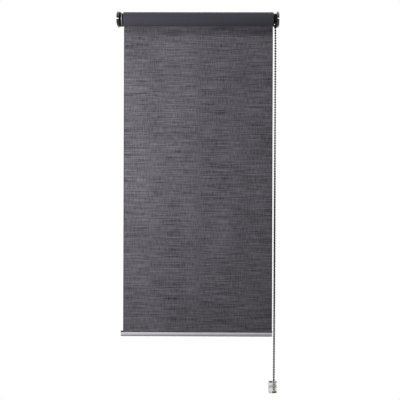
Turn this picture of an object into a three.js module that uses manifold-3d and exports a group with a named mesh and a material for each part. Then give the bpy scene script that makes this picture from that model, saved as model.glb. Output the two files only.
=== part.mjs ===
// A chain-operated roller blind, in millimetres, +Z up.
// The wall is the plane y = 0 and the room is on its -Y side. The origin lies on the wall, midway
// along the fabric's width, at the height of the roller's axis. The chain hangs at the +X end.
import * as THREE from "three";
import { mergeVertices } from "three/addons/utils/BufferGeometryUtils.js";
import Module from "manifold-3d";

const wasm = await Module();
wasm.setup();

// ---- driving dimensions -------------------------------------------------------------------------
const GAP = 0.3; // clearance between pieces that touch
const AXIS_Y = -30; // roller axis, in front of the wall

const FABRIC_WIDTH = 352;
const FABRIC_THICK = 0.45;
const ROLL_R = 16.5; // outside of the wound cloth
const DROP_END = -736.6; // the cloth ends in the mouth of the bottom bar's strip

const TUBE_R = 14;
const TUBE_WALL = 1.2;
const TUBE_X = [-178.4, 174.7];
const BORE_R = TUBE_R - TUBE_WALL;
const KEY_HALF = 1; // half width of the rib along the tube's bore
const KEY_HEIGHT = 1.6;

const PLUG_X = [-181.1, -150]; // grey plug in the tube's idle end
const PLUG_R = BORE_R - GAP;
const PLUG_POCKET_X = PLUG_X[0] + 7; // the pin's wide pocket starts here
const PLUG_POCKET_R = 5.2;
const PIN_R = 2.5;
const PIN_COLLAR_R = 4.8;

const PLATE_R = 18.9; // round head of each bracket
const PLATE_THICK = 1.2;
const RIM_DEPTH = 5.4;
const IDLE_WEB_X = -186; // inner face of each bracket's plate
const CONTROL_WEB_X = 184.3;
const STRAP_HALF = 13; // half height of the bracket's arm and wall flange
const FLANGE_LENGTH = 20;
const FLANGE_THICK = 1.5;
const KEY_SLOT = 3.4; // slot that runs from the bracket's front edge to the axis
const PIN_SEAT_R = 2.7;
const SCREW_SLOT_Z = [-7, 7];
const SCREW_SLOT_REACH = [-5, -13]; // its two ends, from the web along the wall flange
const SCREW_SLOT_R = 2.2;

const BEAD_PITCH = 6;
const CHAIN_R = 2.25;
const CHAIN_X = 180.75;
const WHEEL_BEADS = 13;
const WHEEL_R = (WHEEL_BEADS * BEAD_PITCH) / (2 * Math.PI);
const PULLEY_BEADS = 10;
const PULLEY_R = (PULLEY_BEADS * BEAD_PITCH) / (2 * Math.PI);
const WHEEL_X = [177.1, 183.7];
const WHEEL_RIMS = [15, 13.9]; // outside radius of the left and the right rim

const SHAFT_X = [138, 182.9]; // fixed shaft of the control spindle
const SHAFT_R = 5.5;
const HUB_R = 9.6;
const SCREW_HOLE_R = 1.6;
const CROWN_X = [143, 176.8];
const CROWN_BORE_R = 8;
const SLEEVE_R = [5.9, 7.6]; // the wheel's sleeve, between the shaft and the crown

const TENSIONER_X = 179.8;
const TENSIONER_Z = -861; // pulley axis
const CASE_LEFT = -11.8; // tensioner case, from its pulley axis
const CASE_RIGHT = 6.6;
const CASE_HALF_DEPTH = 13.7;
const CASE_Z = [-14.7, 11.4];
const CASE_WALL = 1.2;
const PULLEY_RIM = { halfWidth: 3.6, outer: 9.3, chamfer: 0.3 };
const AXLE_R = 1.5;

const BAR_X = [-180.6, 175.6]; // aluminium profile, without its end caps
const BAR_Y = AXIS_Y + ROLL_R + GAP + FABRIC_THICK / 2; // the cloth's hanging plane
const BAR_TOP = -737;
const BAR_HEIGHT = 9.6;
const BAR_DEPTH = 7.6;
const CAP_THICK = 1.2;

// ---- materials ----------------------------------------------------------------------------------
function look(color, roughness, metalness, opacity = 1) {
  return new THREE.MeshStandardMaterial({
    color,
    roughness,
    metalness,
    opacity,
    transparent: opacity < 1,
  });
}

const nickel = look(0x9a9a96, 0.3, 1);
const steel = look(0x8d8d8d, 0.35, 1);
const chainSteel = look(0x5a554e, 0.4, 1);
const aluminium = look(0xc4c4c8, 0.35, 1);
const blackPlastic = look(0x151516, 0.45, 0);
const greyPlastic = look(0x85858a, 0.5, 0);
const clearPlastic = look(0xd8d8d6, 0.12, 0, 0.4);
const cloth = look(0x57545b, 0.9, 0);

// ---- solids: closed geometry to and from the boolean library --------------------------------------
function cleanTriangles(geometry) {
  const plain = geometry.clone();
  plain.deleteAttribute("normal");
  plain.deleteAttribute("uv");
  const merged = mergeVertices(plain, 1e-4);
  const index = merged.getIndex().array;
  const kept = [];
  for (let i = 0; i < index.length; i += 3) {
    const [a, b, c] = [index[i], index[i + 1], index[i + 2]];
    if (a !== b && b !== c && c !== a) kept.push(a, b, c);
  }
  return { positions: merged.getAttribute("position").array, triangles: kept };
}

function signedVolume({ positions, triangles }) {
  const corner = (i) => new THREE.Vector3().fromArray(positions, 3 * i);
  let sum = 0;
  for (let i = 0; i < triangles.length; i += 3) {
    const [a, b, c] = [0, 1, 2].map((k) => corner(triangles[i + k]));
    sum += a.dot(b.cross(c));
  }
  return sum;
}

function solid(geometry) {
  const mesh = cleanTriangles(geometry);
  if (signedVolume(mesh) < 0) mesh.triangles.reverse();
  return new wasm.Manifold(
    new wasm.Mesh({
      numProp: 3,
      vertProperties: new Float32Array(mesh.positions),
      triVerts: new Uint32Array(mesh.triangles),
    }),
  );
}

function geometryOf(manifold) {
  const mesh = manifold.getMesh();
  const geometry = new THREE.BufferGeometry();
  geometry.setAttribute("position", new THREE.BufferAttribute(mesh.vertProperties, 3));
  geometry.setIndex(new THREE.BufferAttribute(mesh.triVerts, 1));
  return geometry;
}

function piece(name, manifold, material) {
  const mesh = new THREE.Mesh(geometryOf(manifold), material);
  mesh.name = name;
  return mesh;
}

function join(first, ...others) {
  return others.reduce((sum, next) => sum.add(next), first);
}

function cut(first, ...others) {
  return others.reduce((rest, next) => rest.subtract(next), first);
}

// ---- basic shapes -------------------------------------------------------------------------------
function box(x, y, z) {
  const geometry = new THREE.BoxGeometry(x[1] - x[0], y[1] - y[0], z[1] - z[0]);
  geometry.translate((x[0] + x[1]) / 2, (y[0] + y[1]) / 2, (z[0] + z[1]) / 2);
  return solid(geometry);
}

// A profile of [x, radius] points, turned about an axis along X through (y, z).
function turned(profile, y = AXIS_Y, z = 0, sides = 40) {
  const points = profile.map(([x, r]) => new THREE.Vector2(r, x));
  const geometry = new THREE.LatheGeometry(points, sides);
  geometry.rotateZ(-Math.PI / 2);
  geometry.translate(0, y, z);
  return solid(geometry);
}

function rod(x, r, y = AXIS_Y, z = 0, sides = 40) {
  return turned([[x[0], 0], [x[0], r], [x[1], r], [x[1], 0]], y, z, sides);
}

function ring(x, inner, outer, y = AXIS_Y, z = 0, sides = 40) {
  return turned([[x[0], inner], [x[0], outer], [x[1], outer], [x[1], inner], [x[0], inner]], y, z, sides);
}

// An outline of [x, z] points, pushed along Y.
function frontOutline(points, y) {
  const shape = new THREE.Shape(points.map(([x, z]) => new THREE.Vector2(x, z)));
  const geometry = new THREE.ExtrudeGeometry(shape, { depth: y[1] - y[0], bevelEnabled: false });
  geometry.rotateX(Math.PI / 2);
  geometry.translate(0, y[1], 0);
  return solid(geometry);
}

// A shape drawn in the YZ plane (its x is the part's y), pushed along X.
function sideShape(shape, x, curveSegments = 8) {
  const geometry = new THREE.ExtrudeGeometry(shape, {
    depth: x[1] - x[0],
    bevelEnabled: false,
    curveSegments,
  });
  geometry.applyMatrix4(new THREE.Matrix4().set(0, 0, 1, x[0], 1, 0, 0, 0, 0, 1, 0, 0, 0, 0, 0, 1));
  return solid(geometry);
}

function stadium(cy, cz, halfLength, r) {
  const shape = new THREE.Shape();
  shape.absarc(cy, cz + halfLength, r, 0, Math.PI, false);
  shape.absarc(cy, cz - halfLength, r, Math.PI, 2 * Math.PI, false);
  shape.closePath();
  return shape;
}

// ---- brackets -----------------------------------------------------------------------------------
// Cutter for a long hole through the wall flange, for a wall screw.
function screwSlot([left, right], z) {
  const depth = 2 * FLANGE_THICK;
  const ends = [left, right].map((x) => {
    const geometry = new THREE.CylinderGeometry(SCREW_SLOT_R, SCREW_SLOT_R, 2 * depth, 20);
    return solid(geometry.translate(x, 0, z));
  });
  return join(...ends, box([left, right], [-depth, depth], [z - SCREW_SLOT_R, z + SCREW_SLOT_R]));
}

// side is +1 at the chain end and -1 at the idle end; outward from the web is away from the cloth.
// shoulder is the rim's depth where its lower end tapers off.
function bracket(name, side, webX, shoulder) {
  const span = (near, far) => [webX + side * near, webX + side * far].sort((a, b) => a - b);
  const web = join(
    rod(span(0, PLATE_THICK), PLATE_R, AXIS_Y, 0, 64),
    box(span(0, PLATE_THICK), [AXIS_Y, 0], [-STRAP_HALF, STRAP_HALF]),
  );
  const rimOutline = [
    [0, -PLATE_R - 1],
    [1.8, -PLATE_R - 1],
    [shoulder, -15.5],
    [RIM_DEPTH, -9],
    [RIM_DEPTH, 12],
    [4.7, 16.5],
    [3.4, PLATE_R + 1],
    [0, PLATE_R + 1],
  ].map(([out, z]) => [webX + side * out, z]);
  const rimBack = AXIS_Y + Math.sqrt(PLATE_R ** 2 - STRAP_HALF ** 2);
  const rim = ring(span(0, RIM_DEPTH), PLATE_R - PLATE_THICK, PLATE_R, AXIS_Y, 0, 64).intersect(
    frontOutline(rimOutline, [AXIS_Y - PLATE_R - 1, rimBack]),
  );
  const flange = box(span(-FLANGE_LENGTH, PLATE_THICK), [-FLANGE_THICK, 0], [-STRAP_HALF, STRAP_HALF]);
  const keySlot = box(span(-1, RIM_DEPTH + 1), [AXIS_Y - PLATE_R - 1, AXIS_Y], [-KEY_SLOT / 2, KEY_SLOT / 2]);
  const pinSeat = rod(span(-1, PLATE_THICK + 1), PIN_SEAT_R, AXIS_Y, 0, 32);
  const screwSlots = SCREW_SLOT_Z.map((z) => screwSlot(span(...SCREW_SLOT_REACH), z));
  const plate = join(web, rim, flange);
  return piece(name, cut(plate, keySlot, pinSeat, ...screwSlots), nickel);
}

// Moulded collar between the idle bracket and the roller, open at the front so the pin slides in.
function idleLiner() {
  const [left, right] = [IDLE_WEB_X + GAP, IDLE_WEB_X + 4.6];
  const [outer, chamfer, mouthHalf] = [17.3, 0.8, PIN_R + GAP];
  const body = turned([
    [left, 0],
    [left, outer - chamfer],
    [left + chamfer, outer],
    [right - chamfer, outer],
    [right, outer - chamfer],
    [right, 0],
  ]);
  const through = [left - 1, right + 1];
  const hub = rod(through, mouthHalf, AXIS_Y, 0, 24);
  const mouth = box(through, [AXIS_Y - outer - 1, AXIS_Y], [-mouthHalf, mouthHalf]);
  return piece("idle_bracket_liner", cut(body, hub, mouth), blackPlastic);
}

// ---- roller -------------------------------------------------------------------------------------
function rollerTube() {
  const wall = ring(TUBE_X, BORE_R, TUBE_R);
  const ribX = [TUBE_X[0] + 1, TUBE_X[1] - 1];
  const ribZ = [BORE_R - KEY_HEIGHT, TUBE_R - TUBE_WALL / 2];
  const keyRib = box(ribX, [AXIS_Y - KEY_HALF, AXIS_Y + KEY_HALF], ribZ);
  return piece("roller_tube", join(wall, keyRib), aluminium);
}

function fabricRoll() {
  const half = FABRIC_WIDTH / 2;
  return piece("fabric_roll", ring([-half, half], TUBE_R + 0.5, ROLL_R), cloth);
}

// Adhesive strip that holds the cloth's first turn to the tube.
function fabricTape() {
  const half = FABRIC_WIDTH / 2 - 2;
  const wide = ring([-half, half], TUBE_R + 0.1, TUBE_R + 0.4);
  const wedge = box([-half - 1, half + 1], [AXIS_Y - 5, AXIS_Y + 5], [0, TUBE_R + 2]);
  return piece("fabric_tape", wide.intersect(wedge), look(0xd9d6c8, 0.8, 0));
}

// Cutter for the groove that rides on the tube's rib.
function keyway(x) {
  const half = KEY_HALF + 0.5;
  return box(x, [AXIS_Y - half, AXIS_Y + half], [BORE_R - KEY_HEIGHT - 0.6, TUBE_R]);
}

// Its pocket holds the sprung pin, its flange covers the tube's end.
function idlePlug() {
  const [face, end] = PLUG_X;
  const [flangeR, chamfer, pinHole] = [15, 0.6, PIN_R + GAP];
  const shoulder = TUBE_X[0] - GAP;
  const body = turned([
    [face, pinHole],
    [face, flangeR - chamfer],
    [face + chamfer, flangeR],
    [shoulder, flangeR],
    [shoulder, PLUG_R],
    [end - 1, PLUG_R],
    [end, PLUG_R - 1],
    [end, PLUG_POCKET_R],
    [PLUG_POCKET_X, PLUG_POCKET_R],
    [PLUG_POCKET_X, pinHole],
    [face, pinHole],
  ]);
  return piece("idle_plug", cut(body, keyway([shoulder, end + 1])), greyPlastic);
}

// A thin tip in front of the bracket's seat, a collar in the plug's pocket and a tail in the spring.
function idlePin() {
  const collar = PLUG_POCKET_X + GAP;
  const [tip, shoulder, tipR, tailR] = [-191, -187.6, 1.4, 2.2];
  const profile = [
    [tip, 0],
    [tip, tipR - 0.5],
    [tip + 0.5, tipR],
    [shoulder - 0.4, tipR],
    [shoulder, PIN_R],
    [collar, PIN_R],
    [collar, PIN_COLLAR_R],
    [collar + 2, PIN_COLLAR_R],
    [collar + 2, tailR],
    [collar + 9, tailR],
    [collar + 9, 0],
  ];
  return piece("idle_pin", turned(profile, AXIS_Y, 0, 32), steel);
}

function springRetainer() {
  const end = PLUG_X[1];
  const x = [end - 3, end - 1.5];
  return piece("spring_retainer", ring(x, 2.6, PLUG_POCKET_R - GAP, AXIS_Y, 0, 32), blackPlastic);
}

// A round wire wound about the roller's axis.
class Helix extends THREE.Curve {
  constructor(x, radius, turns) {
    super();
    Object.assign(this, { x, radius, turns });
  }
  getPoint(t, target = new THREE.Vector3()) {
    const angle = 2 * Math.PI * this.turns * t;
    const x = THREE.MathUtils.lerp(this.x[0], this.x[1], t);
    return target.set(x, AXIS_Y + this.radius * Math.cos(angle), this.radius * Math.sin(angle));
  }
}

function spring(name, x, radius, turns, wireR) {
  const section = new THREE.Shape().absarc(0, 0, wireR, 0, 2 * Math.PI, false);
  const geometry = new THREE.ExtrudeGeometry(section, {
    steps: Math.round(turns * 12),
    curveSegments: 3,
    extrudePath: new Helix(x, radius, turns),
  });
  return piece(name, solid(geometry), steel);
}

// ---- control end --------------------------------------------------------------------------------
// Fixed spindle: a hub plate against the bracket, a tongue through its slot and a stepped shaft.
function controlSpindle() {
  const [end, hub] = SHAFT_X;
  const [hubFace, holeEnd] = [CONTROL_WEB_X - GAP, end + 12];
  const body = turned([
    [end, SCREW_HOLE_R],
    [end, SHAFT_R - 0.4],
    [end + 1, SHAFT_R],
    [hub, SHAFT_R],
    [hub, HUB_R],
    [hubFace, HUB_R],
    [hubFace, 0],
    [holeEnd, 0],
    [holeEnd, SCREW_HOLE_R],
    [end, SCREW_HOLE_R],
  ]);
  const tongueHalf = KEY_SLOT / 2 - GAP;
  const tongueX = [hubFace - 0.5, CONTROL_WEB_X + 4.4];
  const tongue = box(tongueX, [AXIS_Y - 9, AXIS_Y + 1.6], [-tongueHalf, tongueHalf]);
  return piece("control_spindle", join(body, tongue), blackPlastic);
}

function driveCrown() {
  const [start, end] = CROWN_X;
  const flange = TUBE_X[1] + GAP;
  const body = turned([
    [start, CROWN_BORE_R],
    [start, PLUG_R - 1],
    [start + 1, PLUG_R],
    [flange, PLUG_R],
    [flange, TUBE_R],
    [end, TUBE_R],
    [end, CROWN_BORE_R],
    [start, CROWN_BORE_R],
  ]);
  return piece("drive_crown", cut(body, keyway([start - 1, flange])), greyPlastic);
}

// Washer and cross-head screw that keep the sleeve and the crown on the shaft.
const WASHER_X = [SHAFT_X[0] - GAP - 0.8, SHAFT_X[0] - GAP];
function spindleWasher() {
  return piece("spindle_washer", ring(WASHER_X, SCREW_HOLE_R + 0.2, 7.4, AXIS_Y, 0, 32), steel);
}

function spindleScrew() {
  const seat = WASHER_X[0] - GAP;
  const [head, end, headR, shankR] = [seat - 2.2, SHAFT_X[0] + 11, 3.3, SCREW_HOLE_R - GAP];
  const profile = [
    [head, 0],
    [head, headR - 0.7],
    [head + 0.6, headR],
    [seat, headR],
    [seat, shankR],
    [end, shankR],
    [end, 0],
  ];
  const [recessX, arm, half] = [[head - 0.4, head + 1], 2, 0.35];
  const recess = join(
    box(recessX, [AXIS_Y - arm, AXIS_Y + arm], [-half, half]),
    box(recessX, [AXIS_Y - half, AXIS_Y + half], [-arm, arm]),
  );
  return piece("spindle_screw", cut(turned(profile, AXIS_Y, 0, 24), recess), steel);
}

// U-shaped groove that the beads lie in, from the left rim's radius to the right rim's.
function grooveProfile(centreX, pitchR, left, right) {
  const r = CHAIN_R + GAP;
  const points = [[centreX - r, left]];
  for (let i = 0; i <= 8; i += 1) {
    const angle = Math.PI * (1 + i / 8);
    points.push([centreX + r * Math.cos(angle), pitchR + r * Math.sin(angle)]);
  }
  return [...points, [centreX + r, right]];
}

// Grooved rim with a sleeve that reaches into the drive crown.
function chainWheel() {
  const [left, right] = WHEEL_X;
  const [leftRim, rightRim] = WHEEL_RIMS;
  const [sleeveInner, sleeveOuter] = SLEEVE_R;
  const [sleeveEnd, recess, recessR] = [162, SHAFT_X[1] - GAP, HUB_R + 0.4];
  const profile = [
    [left, sleeveOuter],
    [left, leftRim - 0.4],
    [left + 0.5, leftRim],
    ...grooveProfile(CHAIN_X, WHEEL_R, leftRim, rightRim),
    [right - 0.15, rightRim],
    [right, rightRim - 0.2],
    [right, recessR],
    [recess, recessR],
    [recess, sleeveInner],
    [sleeveEnd, sleeveInner],
    [sleeveEnd, sleeveOuter],
    [left, sleeveOuter],
  ];
  return piece("chain_wheel", turned(profile), blackPlastic);
}

// ---- chain --------------------------------------------------------------------------------------
// Route of the hanging loop: down the front strand, round the pulley and up the back strand.
const CHAIN_ROUTE = [
  [180.75, -42.41, -0.4],
  [180.7, -42.35, -20],
  [180.58, -42.21, -60],
  [180.4, -42.01, -120],
  [180.32, -41.75, -200],
  [180.32, -41.42, -300],
  [180.37, -41.08, -400],
  [180.45, -40.62, -540],
  [180.42, -40.42, -600],
  [180.2, -40.08, -700],
  [179.95, -39.82, -780],
  [179.82, -39.65, -830],
  [179.8, -39.55, -861],
  [179.8, -38, -866.2],
  [179.8, -34.7, -869.4],
  [179.8, -30, -870.55],
  [179.8, -25.3, -869.4],
  [179.8, -22, -866.2],
  [179.8, -20.45, -861],
  [179.97, -20.38, -840],
  [180.25, -20.08, -750],
  [180.5, -19.78, -660],
  [180.75, -19.38, -540],
  [181.1, -18.98, -420],
  [181.5, -18.58, -300],
  [181.8, -18.25, -200],
  [182.05, -17.99, -120],
  [182, -17.79, -60],
  [181.3, -17.65, -20],
  [180.75, -17.59, -0.4],
];

// The route as a smooth curve that is walked point by point, so bends get as many steps as runs.
class HandRoute extends THREE.CatmullRomCurve3 {
  getUtoTmapping(u) {
    return u;
  }
}

function chainLoop() {
  const route = new HandRoute(
    CHAIN_ROUTE.map((point) => new THREE.Vector3(...point)),
    false,
    "centripetal",
  );
  const section = new THREE.Shape().absarc(0, 0, CHAIN_R, 0, 2 * Math.PI, false);
  const geometry = new THREE.ExtrudeGeometry(section, {
    steps: 2 * (CHAIN_ROUTE.length - 1),
    curveSegments: 5,
    extrudePath: route,
  });
  return piece("chain_loop", solid(geometry), chainSteel);
}

// The half turn of chain that lies in the wheel's groove.
function chainOnWheel() {
  const section = [];
  for (let i = 0; i <= 10; i += 1) {
    const angle = (2 * Math.PI * i) / 10;
    section.push([CHAIN_X + CHAIN_R * Math.cos(angle), WHEEL_R + CHAIN_R * Math.sin(angle)]);
  }
  const above = box([CHAIN_X - 5, CHAIN_X + 5], [AXIS_Y - 20, AXIS_Y + 20], [0, 20]);
  return piece("chain_on_wheel", turned(section).intersect(above), chainSteel);
}

// Sleeve crimped over the joint of the loop, on the front strand and in line with it.
function chainStop() {
  const [length, outer, z] = [5, 3.15, -18.5];
  const [high, low] = [CHAIN_ROUTE[0], CHAIN_ROUTE[1]].map((point) => new THREE.Vector3(...point));
  const mesh = piece("chain_stop", ring([-length / 2, length / 2], CHAIN_R + GAP, outer, 0, 0, 20), steel);
  mesh.position.lerpVectors(high, low, (z - high.z) / (low.z - high.z));
  mesh.quaternion.setFromUnitVectors(new THREE.Vector3(1, 0, 0), high.clone().sub(low).normalize());
  return mesh;
}

// ---- tensioner: built round its pulley's axis, then set in place ----------------------------------
// side is -1 for the left half and +1 for the right half.
function tensionerShell(name, side, outerX) {
  const span = (near, far) => [side * near, side * far].sort((a, b) => a - b);
  const reach = Math.abs(outerX);
  const r = 3;
  const half = CASE_HALF_DEPTH - r;
  const [floor, top] = CASE_Z;
  const outline = new THREE.Shape();
  outline.absarc(half, top - r, r, 0, Math.PI / 2, false);
  outline.absarc(-half, top - r, r, Math.PI / 2, Math.PI, false);
  outline.absarc(-half, floor + r, r, Math.PI, 1.5 * Math.PI, false);
  outline.absarc(half, floor + r, r, 1.5 * Math.PI, 2 * Math.PI, false);
  outline.closePath();
  const inside = CASE_HALF_DEPTH - CASE_WALL;
  const chainSlot = 3.4; // half width of the opening that the two strands enter by
  const shell = cut(
    sideShape(outline, span(GAP / 2, reach), 6),
    box(span(0, reach - CASE_WALL), [-inside, inside], [floor + CASE_WALL, top - CASE_WALL]),
    box(span(0, chainSlot), [-inside, inside], [0, top + 1]),
  );
  const boss = rod(span(PULLEY_RIM.halfWidth + GAP, reach - 0.5), 3.6, 0, 0, 24);
  const bore = rod(span(0, reach + 1), AXLE_R + GAP / 2, 0, 0, 24);
  return piece(name, cut(join(shell, boss), bore), clearPlastic);
}

function tensionerPulley() {
  const { halfWidth, outer, chamfer } = PULLEY_RIM;
  const bore = AXLE_R + 0.08;
  const profile = [
    [-halfWidth, bore],
    [-halfWidth, outer - chamfer],
    [chamfer - halfWidth, outer],
    ...grooveProfile(0, PULLEY_R, outer, outer),
    [halfWidth - chamfer, outer],
    [halfWidth, outer - chamfer],
    [halfWidth, bore],
    [-halfWidth, bore],
  ];
  return piece("tensioner_pulley", turned(profile, 0, 0, 40), clearPlastic);
}

function tensionerAxle() {
  return piece("tensioner_axle", rod([CASE_LEFT + 0.4, CASE_RIGHT - 0.4], AXLE_R, 0, 0, 24), steel);
}

function tensionerWeight() {
  const bottom = CASE_Z[0] + CASE_WALL + 0.2;
  const [half, shoulder, top, halfWidth] = [9.5, bottom + 0.7, bottom + 1.2, 5.3];
  const outline = new THREE.Shape();
  outline.moveTo(-half, bottom);
  outline.lineTo(half, bottom);
  outline.lineTo(half, shoulder);
  outline.lineTo(half - 0.5, top);
  outline.lineTo(0.5 - half, top);
  outline.lineTo(-half, shoulder);
  outline.closePath();
  return piece("tensioner_weight", sideShape(outline, [-halfWidth, halfWidth]), chainSteel);
}

function tensioner() {
  const group = new THREE.Group();
  group.position.set(TENSIONER_X, AXIS_Y, TENSIONER_Z);
  group.add(
    tensionerShell("tensioner_left_shell", -1, CASE_LEFT),
    tensionerShell("tensioner_right_shell", 1, CASE_RIGHT),
    tensionerPulley(),
    tensionerAxle(),
    tensionerWeight(),
  );
  return group;
}

// ---- cloth and bottom bar -----------------------------------------------------------------------
function fabricDrop() {
  const half = FABRIC_WIDTH / 2;
  const y = [BAR_Y - FABRIC_THICK / 2, BAR_Y + FABRIC_THICK / 2];
  return piece("fabric_drop", box([-half, half], y, [DROP_END, -0.5]), cloth);
}

// The bar's section: round ends, a channel for the cloth's strip and a hollow below it.
const BAR_MIDDLE = BAR_TOP - BAR_HEIGHT / 2;
const BAR_STRAIGHT = (BAR_HEIGHT - BAR_DEPTH) / 2;
const CHANNEL_R = 2.1;
const CHANNEL_Z = BAR_TOP - 3.1;
const NECK_HALF = 0.9;
const HOLLOW_HALF = 1.9;
const HOLLOW_Z = [BAR_TOP - BAR_HEIGHT + 1.2, CHANNEL_Z - CHANNEL_R - 0.7];
const LIP_THICK = 2.4;
const LIP_TOP = BAR_TOP + 3.2;

function bottomBar() {
  const through = [BAR_X[0] - 1, BAR_X[1] + 1];
  const outer = sideShape(stadium(BAR_Y, BAR_MIDDLE, BAR_STRAIGHT, BAR_DEPTH / 2), BAR_X, 12);
  const channel = rod(through, CHANNEL_R, BAR_Y, CHANNEL_Z, 20);
  const mouth = box(through, [BAR_Y - NECK_HALF, BAR_Y + NECK_HALF], [CHANNEL_Z, BAR_TOP + 1]);
  const hollow = box(through, [BAR_Y - HOLLOW_HALF, BAR_Y + HOLLOW_HALF], HOLLOW_Z);
  return piece("bottom_bar", cut(outer, channel, mouth, hollow), aluminium);
}

// Black strip that locks the cloth into the bar. Its lip stands behind the cloth.
function bottomBarInsert() {
  const bead = rod(BAR_X, CHANNEL_R - 0.2, BAR_Y, CHANNEL_Z, 20);
  const neckHalf = NECK_HALF - 0.2;
  const neck = box(BAR_X, [BAR_Y - neckHalf, BAR_Y + neckHalf], [CHANNEL_Z, BAR_TOP + 0.8]);
  const lipX = [BAR_X[0] - CAP_THICK, BAR_X[1] + CAP_THICK];
  const lip = box(lipX, [BAR_Y, BAR_Y + LIP_THICK], [BAR_TOP + GAP, LIP_TOP]);
  const slotX = [lipX[0] - 1, lipX[1] + 1];
  const clothSlot = box(slotX, [BAR_Y - GAP, BAR_Y + GAP], [BAR_TOP, LIP_TOP + 1]);
  return piece("bottom_bar_insert", cut(join(bead, neck, lip), clothSlot), blackPlastic);
}

function bottomBarCap(name, side, barEnd) {
  const span = (near, far) => [barEnd + side * near, barEnd + side * far].sort((a, b) => a - b);
  const outline = stadium(BAR_Y, BAR_MIDDLE, BAR_STRAIGHT, BAR_DEPTH / 2);
  const play = 0.2;
  const plate = sideShape(outline, span(0.1, CAP_THICK), 12);
  const plug = box(
    span(-12, 0.5),
    [BAR_Y - HOLLOW_HALF + play, BAR_Y + HOLLOW_HALF - play],
    [HOLLOW_Z[0] + play, HOLLOW_Z[1] - play],
  );
  return piece(name, join(plate, plug), clearPlastic);
}

// ---- the whole blind ----------------------------------------------------------------------------
const blind = new THREE.Group();
blind.add(
  bracket("idle_bracket", -1, IDLE_WEB_X, 3.9),
  bracket("control_bracket", 1, CONTROL_WEB_X, 5.1),
  idleLiner(),
  rollerTube(),
  fabricRoll(),
  fabricTape(),
  idlePlug(),
  idlePin(),
  spring("idle_pin_spring", [-170.9, -154], 3.5, 7, 0.45),
  springRetainer(),
  controlSpindle(),
  spring("clutch_spring_1", [146, 151.5], 6.5, 4.5, 0.6),
  spring("clutch_spring_2", [154, 159.5], 6.5, 4.5, 0.6),
  driveCrown(),
  spindleWasher(),
  spindleScrew(),
  chainWheel(),
  chainOnWheel(),
  chainLoop(),
  chainStop(),
  tensioner(),
  fabricDrop(),
  bottomBar(),
  bottomBarInsert(),
  bottomBarCap("bottom_bar_cap_left", -1, BAR_X[0]),
  bottomBarCap("bottom_bar_cap_right", 1, BAR_X[1]),
);

export default blind;
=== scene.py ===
"""A chain-operated roller blind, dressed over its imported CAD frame. Metres, +Z up.

The wall is the plane y = 0 and the room is on its -Y side. The roller lies along X, 30 mm in front
of the wall, and the chain hangs at its +X end.
"""
import math

import bmesh
import bpy
import numpy as np
from mathutils import Matrix, Vector, noise


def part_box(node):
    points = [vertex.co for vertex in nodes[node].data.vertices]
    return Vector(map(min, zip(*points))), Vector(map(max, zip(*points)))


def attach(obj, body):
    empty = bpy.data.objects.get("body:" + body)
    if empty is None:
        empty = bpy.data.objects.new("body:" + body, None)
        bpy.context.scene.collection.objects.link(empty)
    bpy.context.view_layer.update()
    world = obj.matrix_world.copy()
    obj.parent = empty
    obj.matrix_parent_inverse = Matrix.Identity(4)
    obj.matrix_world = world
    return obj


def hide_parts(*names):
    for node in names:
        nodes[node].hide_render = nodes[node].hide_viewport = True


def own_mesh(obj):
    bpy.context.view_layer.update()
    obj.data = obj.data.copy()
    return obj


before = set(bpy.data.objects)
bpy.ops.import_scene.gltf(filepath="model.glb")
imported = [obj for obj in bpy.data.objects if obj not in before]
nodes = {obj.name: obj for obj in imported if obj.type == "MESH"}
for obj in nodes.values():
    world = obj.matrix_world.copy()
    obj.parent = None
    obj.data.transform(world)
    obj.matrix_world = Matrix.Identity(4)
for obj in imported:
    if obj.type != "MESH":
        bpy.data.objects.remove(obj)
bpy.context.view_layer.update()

MM = 0.001
TURN = 2 * math.pi

# ---- sizes ----------------------------------------------------------------------------------------
roll_low, roll_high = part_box("fabric_roll")
drop_low, drop_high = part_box("fabric_drop")
tube_low, tube_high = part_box("roller_tube")
bar_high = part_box("bottom_bar")[1]

AXIS_Y = (roll_low[1] + roll_high[1]) / 2
TUBE_R = (tube_high[2] - tube_low[2]) / 2

CLOTH_THICK = 0.45 * MM
CLOTH_Y = (drop_low[1] + drop_high[1]) / 2
DROP_SHIFT = 0.26 * MM             # keeps the drop clear of the roll's layers as the roller turns
DROP_WAVE = 0.4 * MM
DROP_CURL = 0.35 * MM
DROP_FLAT_END = 0.1                # share of the height that hangs flat, at the top and the bottom
ROLL_LAYER = 0.47 * MM
drop_bottom = bar_high[2] + 0.15 * MM

BEAD_PITCH = 6 * MM
BEAD_R = 2.25 * MM
WIRE_R = 0.4 * MM
WIRE_OVERLAP = 0.35 * MM           # how far each wire's end reaches into its ball
WHEEL_BEADS = 13
WHEEL_R = WHEEL_BEADS * BEAD_PITCH / TURN
CHAIN_X = 180.75 * MM

SPRING_WIRE_R = 0.45 * MM
SPRING_TURNS = 7

# Route of the hanging chain, the one that part.mjs builds, in millimetres.
CHAIN_ROUTE = [
    (180.75, -42.41, -0.4),
    (180.7, -42.35, -20),
    (180.58, -42.21, -60),
    (180.4, -42.01, -120),
    (180.32, -41.75, -200),
    (180.32, -41.42, -300),
    (180.37, -41.08, -400),
    (180.45, -40.62, -540),
    (180.42, -40.42, -600),
    (180.2, -40.08, -700),
    (179.95, -39.82, -780),
    (179.82, -39.65, -830),
    (179.8, -39.55, -861),
    (179.8, -38, -866.2),
    (179.8, -34.7, -869.4),
    (179.8, -30, -870.55),
    (179.8, -25.3, -869.4),
    (179.8, -22, -866.2),
    (179.8, -20.45, -861),
    (179.97, -20.38, -840),
    (180.25, -20.08, -750),
    (180.5, -19.78, -660),
    (180.75, -19.38, -540),
    (181.1, -18.98, -420),
    (181.5, -18.58, -300),
    (181.8, -18.25, -200),
    (182.05, -17.99, -120),
    (182, -17.79, -60),
    (181.3, -17.65, -20),
    (180.75, -17.59, -0.4),
]


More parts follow.
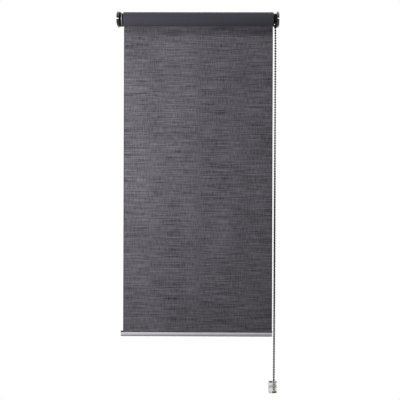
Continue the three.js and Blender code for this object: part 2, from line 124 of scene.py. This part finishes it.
# ---- camera ---------------------------------------------------------------------------------------
SENSOR_WIDTH = 36
LENS = 114.9
EYE_DISTANCE = 3.0                 # in front of the roller's axis
EYE_BELOW_AXIS = 0.4242
EYE_RIGHT = 0.0505
CAMERA_YAW = 0.864                 # degrees
CAMERA_ROLL = 0.175                # degrees


def add_object(name, data):
    made = bpy.data.objects.new(name, data)
    bpy.context.scene.collection.objects.link(made)
    return made


def make_camera():
    data = bpy.data.cameras.new("camera")
    data.sensor_width = SENSOR_WIDTH
    data.lens = LENS
    camera = add_object("camera", data)
    camera.location = (EYE_RIGHT, AXIS_Y - EYE_DISTANCE, -EYE_BELOW_AXIS)
    yaw = Matrix.Rotation(math.radians(CAMERA_YAW), 3, "Z")
    level = Matrix.Rotation(math.radians(90), 3, "X")
    roll = Matrix.Rotation(math.radians(CAMERA_ROLL), 3, "Z")
    camera.rotation_mode = "QUATERNION"
    camera.rotation_quaternion = (yaw @ level @ roll).to_quaternion()
    bpy.context.scene.camera = camera


# ---- mesh helpers ---------------------------------------------------------------------------------
def make_mesh(name, verts, faces, *materials):
    mesh = bpy.data.meshes.new(name)
    mesh.from_pydata(verts, [], faces)
    for material in materials:
        mesh.materials.append(material)
    return mesh


def face_outwards(mesh):
    """Turns the front of every face outwards."""
    turned = bmesh.new()
    turned.from_mesh(mesh)
    bmesh.ops.recalc_face_normals(turned, faces=turned.faces)
    turned.to_mesh(mesh)
    turned.free()


def add_piece(name, mesh, body, sharp_angle=40):
    """Puts a smooth-shaded mesh on a body. Edges sharper than sharp_angle, in degrees, stay sharp."""
    mesh.shade_smooth()
    mesh.set_sharp_from_angle(angle=math.radians(sharp_angle))
    piece = add_object(name, mesh)
    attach(piece, body)
    return piece


# ---- node helpers ---------------------------------------------------------------------------------
def add_node(tree, kind, **settings):
    made = tree.nodes.new(kind)
    for key, value in settings.items():
        setattr(made, key, value)
    return made


def map_range(tree, value, low, high, to_low, to_high):
    made = add_node(tree, "ShaderNodeMapRange")
    tree.links.new(value, made.inputs["Value"])
    for name, number in zip(("From Min", "From Max", "To Min", "To Max"), (low, high, to_low, to_high)):
        made.inputs[name].default_value = number
    return made.outputs["Result"]


def colour_ramp(tree, value, stops):
    """A colour that follows value through the stops, each a (position, colour) pair."""
    made = add_node(tree, "ShaderNodeValToRGB")
    tree.links.new(value, made.inputs["Fac"])
    elements = made.color_ramp.elements
    while len(elements) < len(stops):
        elements.new(0.5)
    for element, (position, colour) in zip(elements, stops):
        element.position = position
        element.color = (*colour, 1)
    return made.outputs["Color"]


class Shader:
    """Builds one material's node tree, a node at a time."""

    def __init__(self, name, **sockets):
        self.material = bpy.data.materials.new(name)
        self.material.use_nodes = True
        self.tree = self.material.node_tree
        self.surface = self.tree.nodes["Principled BSDF"]
        for socket, value in sockets.items():
            self.surface.inputs[socket.replace("_", " ")].default_value = value
        self.place = add_node(self.tree, "ShaderNodeTexCoord").outputs["Object"]

    def link(self, source, target):
        self.tree.links.new(source, target)

    def set(self, socket, source):
        self.link(source, self.surface.inputs[socket])

    def noise(self, scale, detail=2.0, roughness=0.5):
        mapping = add_node(self.tree, "ShaderNodeMapping")
        mapping.inputs["Scale"].default_value = scale
        self.link(self.place, mapping.inputs["Vector"])
        texture = add_node(self.tree, "ShaderNodeTexNoise")
        texture.inputs["Scale"].default_value = 1.0
        texture.inputs["Detail"].default_value = detail
        texture.inputs["Roughness"].default_value = roughness
        self.link(mapping.outputs["Vector"], texture.inputs["Vector"])
        return texture.outputs["Fac"]

    def wave(self, scale, direction, distortion):
        texture = add_node(self.tree, "ShaderNodeTexWave", bands_direction=direction)
        texture.inputs["Scale"].default_value = scale
        texture.inputs["Distortion"].default_value = distortion
        texture.inputs["Detail"].default_value = 1.0
        self.link(self.place, texture.inputs["Vector"])
        return texture.outputs["Fac"]

    def across(self):
        """Distance from the piece's middle along X."""
        split = add_node(self.tree, "ShaderNodeSeparateXYZ")
        self.link(self.place, split.inputs["Vector"])
        return self.math("ABSOLUTE", split.outputs["X"])

    def math(self, operation, *values):
        made = add_node(self.tree, "ShaderNodeMath", operation=operation)
        for socket, value in zip(made.inputs, values):
            if isinstance(value, (int, float)):
                socket.default_value = value
            else:
                self.link(value, socket)
        return made.outputs["Value"]

    def weighted(self, layers):
        """The sum of (value, weight) layers."""
        total = 0.0
        for value, weight in layers:
            total = self.math("ADD", total, self.math("MULTIPLY", value, weight))
        return total

    def spread(self, value, to_low, to_high):
        """A noise's usual span, 0.3 to 0.7, mapped to a new one."""
        return map_range(self.tree, value, 0.3, 0.7, to_low, to_high)

    def tint(self, colour, value):
        """The colour scaled by a value socket."""
        made = add_node(self.tree, "ShaderNodeVectorMath", operation="SCALE")
        made.inputs[0].default_value = colour
        self.link(value, made.inputs["Scale"])
        return made.outputs["Vector"]

    def bump(self, height, distance, strength):
        made = add_node(self.tree, "ShaderNodeBump")
        made.inputs["Distance"].default_value = distance
        made.inputs["Strength"].default_value = strength
        self.link(height, made.inputs["Height"])
        self.link(made.outputs["Normal"], self.surface.inputs["Normal"])


# ---- materials ------------------------------------------------------------------------------------
def cloth_face():
    """Slub weave: thick uneven yarns along X, finer warp lines across them and dark cut edges."""
    s = Shader("cloth face", Roughness=0.85, Sheen_Weight=0.2, Sheen_Roughness=0.5, Specular_IOR_Level=0.2)
    short_slubs = s.noise((26, 1, 900))
    long_slubs = s.noise((10, 1, 520), detail=1.5)
    warp = s.noise((430, 1, 60), roughness=0.6)
    cloudy = s.noise((12, 1, 9))
    weft_rows = s.wave(TURN * 40, "Z", 0.8)
    warp_rows = s.wave(TURN * 46, "X", 0.8)
    weave = s.math("MULTIPLY", weft_rows, warp_rows)
    layers = [(short_slubs, 1.1), (long_slubs, 0.8), (warp, 0.8), (cloudy, 0.3), (weave, 0.1)]
    total = s.weighted(layers)
    shade = map_range(s.tree, total, 1.05, 2.0, 0.1, 1.9)
    border = map_range(s.tree, s.across(), 173.6 * MM, 175 * MM, 1.0, 0.5)
    s.set("Base Color", s.tint((0.135, 0.126, 0.146), s.math("MULTIPLY", shade, border)))
    s.bump(s.weighted([(weave, 0.5), (total, 0.6)]), 0.25 * MM, 0.7)
    return s.material


def cloth_back():
    """The coated reverse, which shows on the roll: smooth, slate, with a faint thread grain."""
    s = Shader("cloth back", Sheen_Weight=0.08, Specular_IOR_Level=0.4)
    bands = s.noise((3, 60, 60))
    grain = s.noise((900, 900, 900))
    shade = s.math("ADD", s.spread(bands, 0.93, 1.07), s.spread(grain, -0.06, 0.06))
    s.set("Base Color", s.tint((0.072, 0.069, 0.087), shade))
    s.set("Roughness", s.spread(grain, 0.45, 0.58))
    s.bump(grain, 0.03 * MM, 0.4)
    return s.material


def metal(name, colour, rough, metallic=1.0, grain=(800, 800, 800), wear=0.08):
    """Metal with a fine grain in its roughness and broad, faint wear in its colour."""
    s = Shader(name, Metallic=metallic)
    fine = s.noise(grain, detail=3.0, roughness=0.6)
    broad = s.noise((60, 60, 60))
    s.set("Base Color", s.tint(colour, s.spread(broad, 1 - wear, 1 + wear)))
    s.set("Roughness", s.spread(fine, rough - 0.07, rough + 0.07))
    s.bump(fine, 0.01 * MM, 0.25)
    return s.material


def plastic(name, colour, rough):
    """Moulded plastic with a fine surface grain and faint flow marks."""
    s = Shader(name)
    grain = s.noise((1400, 1400, 1400), roughness=0.6)
    flow = s.noise((90, 90, 90), detail=1.0)
    s.set("Base Color", s.tint(colour, s.spread(flow, 0.92, 1.08)))
    s.set("Roughness", s.spread(grain, rough - 0.06, rough + 0.06))
    s.bump(grain, 0.02 * MM, 0.3)
    return s.material


def clear_plastic():
    """Clear moulding whose faint ripple bends what is seen through it."""
    s = Shader("clear plastic", Transmission_Weight=1.0, IOR=1.49)
    s.surface.inputs["Base Color"].default_value = (0.86, 0.86, 0.85, 1)
    ripple = s.noise((160, 160, 160), detail=1.5)
    s.set("Roughness", s.spread(ripple, 0.03, 0.12))
    s.bump(ripple, 0.05 * MM, 0.3)
    return s.material


FACE = cloth_face()
BACK = cloth_back()
EDGE = plastic("cut cloth edge", (0.035, 0.034, 0.04), 0.8)
NICKEL = metal("nickel plate", (0.34, 0.34, 0.32), 0.15)
STEEL = metal("zinc steel", (0.5, 0.5, 0.5), 0.35)
CHAIN_METAL = metal("dark chain steel", (0.16, 0.115, 0.095), 0.25)
BAR_METAL = metal("anodised aluminium", (0.92, 0.91, 0.95), 0.4, 0.3, grain=(12, 1500, 1500), wear=0.02)
TUBE_METAL = metal("dark anodised tube", (0.05, 0.05, 0.055), 0.4)
WEIGHT = metal("dark weight", (0.09, 0.085, 0.08), 0.4)
BLACK = plastic("black plastic", (0.014, 0.014, 0.015), 0.42)
WHEEL = plastic("wheel plastic", (0.12, 0.105, 0.11), 0.3)
GREY = plastic("grey plastic", (0.42, 0.41, 0.45), 0.45)
CLEAR = clear_plastic()
TAPE = plastic("adhesive tape", (0.6, 0.57, 0.5), 0.6)


# ---- cloth ----------------------------------------------------------------------------------------
def grid_faces(columns, rows, offset):
    """Quads of both sides of a sheet, the front's and the back's in turn."""
    width = columns + 1
    faces = []
    for row in range(rows):
        for column in range(columns):
            a = row * width + column
            quad = (a, a + 1, a + width + 1, a + width)
            faces.append(quad)
            faces.append(tuple(offset + k for k in reversed(quad)))
    return faces


def rim_faces(columns, rows, offset):
    """Quads that close a sheet all round, between its front and its back."""
    width = columns + 1
    rim = [row * width for row in range(rows + 1)]
    rim += [rows * width + column for column in range(1, width)]
    rim += [row * width + columns for row in range(rows - 1, -1, -1)]
    rim += list(range(columns - 1, 0, -1))
    return [(a, b, offset + b, offset + a) for a, b in zip(rim, rim[1:] + rim[:1])]


def sheet_piece(name, front, back, columns, rows, body):
    """A closed thin sheet from two grids of points. Its front shows the weave, its back the coating."""
    sides = grid_faces(columns, rows, len(front))
    rim = rim_faces(columns, rows, len(front))
    mesh = make_mesh(name, front + back, sides + rim, FACE, BACK, EDGE)
    slots = [0, 1] * (len(sides) // 2) + [2] * len(rim)
    mesh.polygons.foreach_set("material_index", slots)
    face_outwards(mesh)
    return add_piece(name, mesh, body)


def cloth_drop():
    """The hanging cloth: one thin sheet from the roll's back to the bar's strip, barely waved."""
    half = (drop_high[0] - drop_low[0]) / 2
    columns, rows = 88, 184
    front, back = [], []
    for row in range(rows + 1):
        v = row / rows
        z = drop_bottom * v
        share = min(max((v - DROP_FLAT_END) / (1 - 2 * DROP_FLAT_END), 0), 1)
        free = math.sin(math.pi * share) ** 1.5
        for column in range(columns + 1):
            u = column / columns
            x = -half + 2 * half * u
            edge = abs(2 * u - 1)
            wave = (1 + noise.noise(Vector((x * 5, z * 3.2, 1.7)))) * DROP_WAVE
            curl = edge ** 12 * DROP_CURL * (0.6 + 0.4 * noise.noise(Vector((0, z * 9, edge))))
            y = CLOTH_Y + DROP_SHIFT + free * (wave + curl)
            front.append((x, y - CLOTH_THICK / 2, z))
            back.append((x, y + CLOTH_THICK / 2, z))
    return sheet_piece("cloth_drop", front, back, columns, rows, "brackets")


def cloth_roll():
    """The wound cloth, a spiral of thin layers whose coated side faces out, and its length."""
    outer_r = CLOTH_Y - AXIS_Y
    inner_r = TUBE_R + CLOTH_THICK
    turns = (outer_r - inner_r) / ROLL_LAYER
    half = (roll_high[0] - roll_low[0]) / 2
    columns, rows = 24, round(turns * 72)
    inner, outer = [], []
    for row in range(rows + 1):
        back_turns = turns * row / rows
        angle = TURN * back_turns
        radius = outer_r - ROLL_LAYER * back_turns
        for column in range(columns + 1):
            x = -half + 2 * half * column / columns
            for side, offset in ((inner, -CLOTH_THICK / 2), (outer, CLOTH_THICK / 2)):
                r = radius + offset
                side.append((x, AXIS_Y + r * math.cos(angle), r * math.sin(angle)))
    length = TURN * turns * (outer_r + inner_r) / 2
    return sheet_piece("cloth_roll", inner, outer, columns, rows, "roller"), length


# ---- chain ----------------------------------------------------------------------------------------
def spline_stretch(p0, p1, p2, p3, steps=60):
    """Points from p1 up to p2 on a smooth curve whose ends lean towards p0 and p3."""
    t01, t12, t23 = (max((b - a).length ** 0.5, 1e-6) for a, b in ((p0, p1), (p1, p2), (p2, p3)))
    m1 = (p1 - p0) / t01 - (p2 - p0) / (t01 + t12) + (p2 - p1) / t12
    m2 = (p2 - p1) / t12 - (p3 - p1) / (t12 + t23) + (p3 - p2) / t23
    points = []
    for step in range(steps):
        t = step / steps
        h = ((2 * t - 3) * t * t + 1, ((t - 2) * t + 1) * t, (3 - 2 * t) * t * t, (t - 1) * t * t)
        points.append(p1 * h[0] + m1 * t12 * h[1] + p2 * h[2] + m2 * t12 * h[3])
    return points


def chain_centreline():
    """The hanging chain's centreline through its route, and the distance along it at each point."""
    knots = [Vector(point) * MM for point in CHAIN_ROUTE]
    before = knots[0] * 2 - knots[1]
    beyond = knots[-1] * 2 - knots[-2]
    posts = [before, *knots, beyond]
    points = []
    for i in range(len(knots) - 1):
        points += spline_stretch(*posts[i:i + 4])
    points.append(knots[-1])
    line = np.array(points)
    reach = np.r_[0, np.cumsum(np.linalg.norm(np.diff(line, axis=0), axis=1))]
    return line, reach


def along(line, reach, s):
    """The point at distance s along a polyline."""
    return Vector([np.interp(s, reach, line[:, k]) for k in range(3)])


def place_along(line, reach, s, look=0.5 * MM):
    """The point and the heading at distance s along a polyline."""
    heading = along(line, reach, s + look) - along(line, reach, s - look)
    return along(line, reach, s), heading.normalized()


def sphere(radius, sides=16, rows=10):
    """Verts and faces of a ball round the origin, poles along Z."""
    verts = [(0, 0, radius), (0, 0, -radius)]
    for row in range(1, rows):
        tilt = math.pi * row / rows
        flat = radius * math.sin(tilt)
        for i in range(sides):
            turn = TURN * i / sides
            verts.append((flat * math.cos(turn), flat * math.sin(turn), radius * math.cos(tilt)))
    faces = []
    last = 2 + (rows - 2) * sides
    for i in range(sides):
        j = (i + 1) % sides
        faces.append((0, 2 + i, 2 + j))
        faces.append((1, last + j, last + i))
        for row in range(rows - 2):
            a = 2 + row * sides
            faces.append((a + i, a + sides + i, a + sides + j, a + j))
    return verts, faces


def tube(radius, half, sides=8):
    """Verts and faces of a capped tube along Z, from -half to half."""
    verts = []
    for z in (-half, half):
        for i in range(sides):
            turn = TURN * i / sides
            verts.append((radius * math.cos(turn), radius * math.sin(turn), z))
    faces = [tuple(range(sides - 1, -1, -1)), tuple(range(sides, 2 * sides))]
    for i in range(sides):
        j = (i + 1) % sides
        faces.append((i, j, sides + j, sides + i))
    return verts, faces


def placed(template, centre, heading):
    """A template's verts, stood at centre with its Z along heading."""
    turn = np.array(Vector((0, 0, 1)).rotation_difference(heading).to_matrix())
    return np.array(template) @ turn.T + np.array(centre)


def chain_piece(name, places):
    """Balls at the given (centre, heading) places, joined by wires, as one mesh."""
    ball = sphere(BEAD_R)
    wire = tube(WIRE_R, (BEAD_PITCH - 2 * BEAD_R) / 2 + WIRE_OVERLAP)
    gaps = [((a + b) / 2, (b - a).normalized()) for (a, _), (b, _) in zip(places, places[1:])]
    verts, faces = [], []
    for (shape_verts, shape_faces), spots in ((ball, places), (wire, gaps)):
        for centre, heading in spots:
            offset = len(verts)
            verts.extend(map(tuple, placed(shape_verts, centre, heading)))
            faces.extend(tuple(offset + k for k in face) for face in shape_faces)
    mesh = make_mesh(name, verts, faces, CHAIN_METAL)
    piece = add_piece(name, mesh, "brackets", sharp_angle=50)
    return piece


def hanging_chain():
    """The loop below the wheel, the path it follows and the path's length."""
    line, reach = chain_centreline()
    length = reach[-1]
    top = CHAIN_ROUTE[0][2] * MM
    first, last = top + BEAD_PITCH / 2, top + length - BEAD_PITCH
    gaps = round((last - first) / BEAD_PITCH)
    places = [place_along(line, reach, first + (last - first) * i / gaps) for i in range(gaps + 1)]
    piece = chain_piece("ball_chain", places)
    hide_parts("chain_loop")
    path = [tuple(along(line, reach, s)) for s in np.linspace(0, length, 600)]
    return piece, path, length


def chain_over_wheel():
    """The seven balls that lie in the wheel's groove, half a pitch on from the front strand."""
    places = []
    for i in range((WHEEL_BEADS + 1) // 2):
        angle = TURN * (i + 0.5) / WHEEL_BEADS
        centre = Vector((CHAIN_X, AXIS_Y - WHEEL_R * math.cos(angle), WHEEL_R * math.sin(angle)))
        places.append((centre, Vector((0, math.sin(angle), math.cos(angle)))))
    piece = chain_piece("ball_chain_on_wheel", places)
    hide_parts("chain_on_wheel")


# ---- idle pin's spring ----------------------------------------------------------------------------
def coil(x0, x1, radius, turns, wire, sides=8, steps_per_turn=24):
    """Verts and faces of a round wire wound about the roller's axis."""
    steps = turns * steps_per_turn
    verts, faces = [], []
    for step in range(steps + 1):
        turn = TURN * turns * step / steps
        x = x0 + (x1 - x0) * step / steps
        for side in range(sides):
            around = TURN * side / sides
            r = radius + wire * math.cos(around)
            verts.append((x + wire * math.sin(around), AXIS_Y + r * math.cos(turn), r * math.sin(turn)))
    for step in range(steps):
        for side in range(sides):
            a, b = step * sides + side, step * sides + (side + 1) % sides
            faces.append((a, b, b + sides, a + sides))
    faces.append(tuple(range(sides)))
    faces.append(tuple(range(len(verts) - 1, len(verts) - 1 - sides, -1)))
    return verts, faces


def pin_spring():
    """A coil of round steel wire in place of the CAD spring, spanning that spring's length and riding on
    the roller.
    """
    low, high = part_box("idle_pin_spring")
    radius = (high[2] - low[2]) / 2 - SPRING_WIRE_R
    ends = (low[0] + SPRING_WIRE_R, high[0] - SPRING_WIRE_R)
    verts, faces = coil(*ends, radius, SPRING_TURNS, SPRING_WIRE_R)
    mesh = make_mesh("coil_spring", verts, faces, STEEL)
    face_outwards(mesh)
    piece = add_piece("coil_spring", mesh, "roller")
    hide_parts("idle_pin_spring")
    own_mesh(piece)


# ---- dressing of the CAD pieces that stay ---------------------------------------------------------
SOFT_EDGE = 0.25 * MM
WIDE_EDGE = 0.4 * MM
ROUNDED_ANGLE = 32                 # degrees, edges sharper than this are rounded
CRISP_ANGLE = 35                   # degrees, edges sharper than this stay crisp
SEAM_GAP = 0.002 * MM

DRESSING = [
    # material, edge rounding, pieces
    (NICKEL, 0.3 * MM, ["idle_bracket", "control_bracket"]),
    (BLACK, SOFT_EDGE, ["idle_bracket_liner", "spring_retainer", "control_spindle", "bottom_bar_insert"]),
    (WHEEL, SOFT_EDGE, ["chain_wheel"]),
    (GREY, SOFT_EDGE, ["idle_plug", "drive_crown"]),
    (STEEL, 0, ["idle_pin", "clutch_spring_1", "clutch_spring_2", "spindle_washer"]),
    (STEEL, 0.2 * MM, ["spindle_screw"]),
    (CHAIN_METAL, 0.3 * MM, ["chain_stop"]),
    (TUBE_METAL, 0.2 * MM, ["roller_tube"]),
    (BAR_METAL, 0, ["bottom_bar"]),
    (WEIGHT, SOFT_EDGE, ["tensioner_weight"]),
    (TAPE, 0, ["fabric_tape"]),
    (CLEAR, WIDE_EDGE, ["tensioner_left_shell", "tensioner_right_shell"]),
    (CLEAR, SOFT_EDGE, ["tensioner_pulley", "tensioner_axle"]),
    (CLEAR, SOFT_EDGE, ["bottom_bar_cap_left", "bottom_bar_cap_right"]),
]


def round_edges(node, width):
    modifier = node.modifiers.new("edge rounding", "BEVEL")
    modifier.width = width
    modifier.segments = 3 if width >= WIDE_EDGE else 2
    modifier.limit_method = "ANGLE"
    modifier.angle_limit = math.radians(ROUNDED_ANGLE)
    modifier.use_clamp_overlap = True
    modifier.harden_normals = True


def split_edges(node):
    modifier = node.modifiers.new("crisp edges", "EDGE_SPLIT")
    modifier.split_angle = math.radians(CRISP_ANGLE)


def dress(node, material, width):
    """Gives a CAD piece its material and either rounded or, at no width, crisp edges."""
    node.data.materials.clear()
    node.data.materials.append(material)
    node.data.shade_smooth()
    weld = node.modifiers.new("closed seams", "WELD")
    weld.merge_threshold = SEAM_GAP
    if width:
        round_edges(node, width)
    else:
        split_edges(node)


def dress_frame():
    for material, width, names in DRESSING:
        for name in names:
            dress(nodes[name], material, width)


# ---- studio ---------------------------------------------------------------------------------------
# Each surround is a list of (height, brightness), with height 0 straight down and 1 straight up.
FILL = [(0.0, 0.0), (0.5, 0.0), (0.68, 0.02), (0.85, 0.08), (1.0, 0.14)]
MIRRORED = [(0.0, 0.16), (0.3, 0.13), (0.42, 0.04), (0.66, 0.03), (0.84, 0.2), (1.0, 0.42)]
MIRRORED_WALL_SIDE = 6.0           # how much brighter reflections are from behind the blind

LAMPS = [
    # name, place, aim, size, power
    ("key", (-0.66, -0.56, -0.3), (0, AXIS_Y, -0.3), 0.3, 7.3),
    ("behind", (0.4, 1.6, 0.2), (0, 0, -0.7), 1.6, 55.0),
    ("top", (-0.6, -1.2, 0.9), (0, AXIS_Y, -0.3), 0.4, 9.4),
]

FLOOR_HALF = 1.7
FLOOR_PLACE = (0, -1.45, -1.02)


def area_light(name, place, aim, size, power):
    """A round soft lamp that lights surfaces but isn't mirrored by them."""
    data = bpy.data.lights.new(name, "AREA")
    data.shape = "DISK"
    data.size = size
    data.energy = power
    lamp = add_object(name, data)
    lamp.location = place
    lamp.visible_glossy = False
    lamp.visible_transmission = False
    lamp.rotation_mode = "QUATERNION"
    lamp.rotation_quaternion = (Vector(aim) - Vector(place)).to_track_quat("-Z", "Y")


def mix_shader(tree, share, first, second):
    mix = add_node(tree, "ShaderNodeMixShader")
    tree.links.new(share, mix.inputs["Fac"])
    tree.links.new(first, mix.inputs[1])
    tree.links.new(second, mix.inputs[2])
    return mix.outputs["Shader"]


def surround(tree, stops, wall_side=1.0):
    """A background that follows the direction's height and is wall_side times as strong behind."""
    place = add_node(tree, "ShaderNodeTexCoord")
    split = add_node(tree, "ShaderNodeSeparateXYZ")
    tree.links.new(place.outputs["Generated"], split.inputs["Vector"])
    height = map_range(tree, split.outputs["Z"], -1, 1, 0, 1)
    colours = [(position, (grey, grey, grey * 1.03)) for position, grey in stops]
    background = add_node(tree, "ShaderNodeBackground")
    tree.links.new(colour_ramp(tree, height, colours), background.inputs["Color"])
    strength = map_range(tree, split.outputs["Y"], 0.1, 0.8, 1, wall_side)
    tree.links.new(strength, background.inputs["Strength"])
    return background.outputs["Background"]


def white_world():
    """White where it is seen, a soft fill for surfaces, and bands of light for reflections."""
    world = bpy.data.worlds.new("studio")
    bpy.context.scene.world = world
    world.use_nodes = True
    tree = world.node_tree
    shown = tree.nodes["Background"]
    shown.inputs["Color"].default_value = (1, 1, 1, 1)
    fill = surround(tree, FILL)
    mirrored = surround(tree, MIRRORED, MIRRORED_WALL_SIDE)
    rays = add_node(tree, "ShaderNodeLightPath").outputs
    seen = add_node(tree, "ShaderNodeMath", operation="MAXIMUM")
    tree.links.new(rays["Is Camera Ray"], seen.inputs[0])
    tree.links.new(rays["Is Transmission Ray"], seen.inputs[1])
    lit = mix_shader(tree, rays["Is Glossy Ray"], fill, mirrored)
    all_rays = mix_shader(tree, seen.outputs["Value"], lit, shown.outputs["Background"])
    tree.links.new(all_rays, tree.nodes["World Output"].inputs["Surface"])


def pale_floor():
    mesh = bpy.data.meshes.new("floor")
    grid = bmesh.new()
    bmesh.ops.create_grid(grid, x_segments=8, y_segments=8, size=FLOOR_HALF)
    grid.to_mesh(mesh)
    grid.free()
    mesh.materials.append(plastic("pale floor", (0.8, 0.8, 0.79), 0.7))
    floor = add_object("floor", mesh)
    floor.location = FLOOR_PLACE
    floor.visible_diffuse = False
    floor.visible_glossy = False


def studio():
    white_world()
    for lamp in LAMPS:
        area_light(*lamp)
    pale_floor()


# ---- the scene ------------------------------------------------------------------------------------
make_camera()
hung_chain, chain_path, chain_length = hanging_chain()
chain_over_wheel()

drop = cloth_drop()
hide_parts("fabric_drop")

roll, roll_length = cloth_roll()
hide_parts("fabric_roll")

pin_spring()
dress_frame()
studio()

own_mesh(drop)

bpy.context.scene.view_settings.view_transform = "Standard"
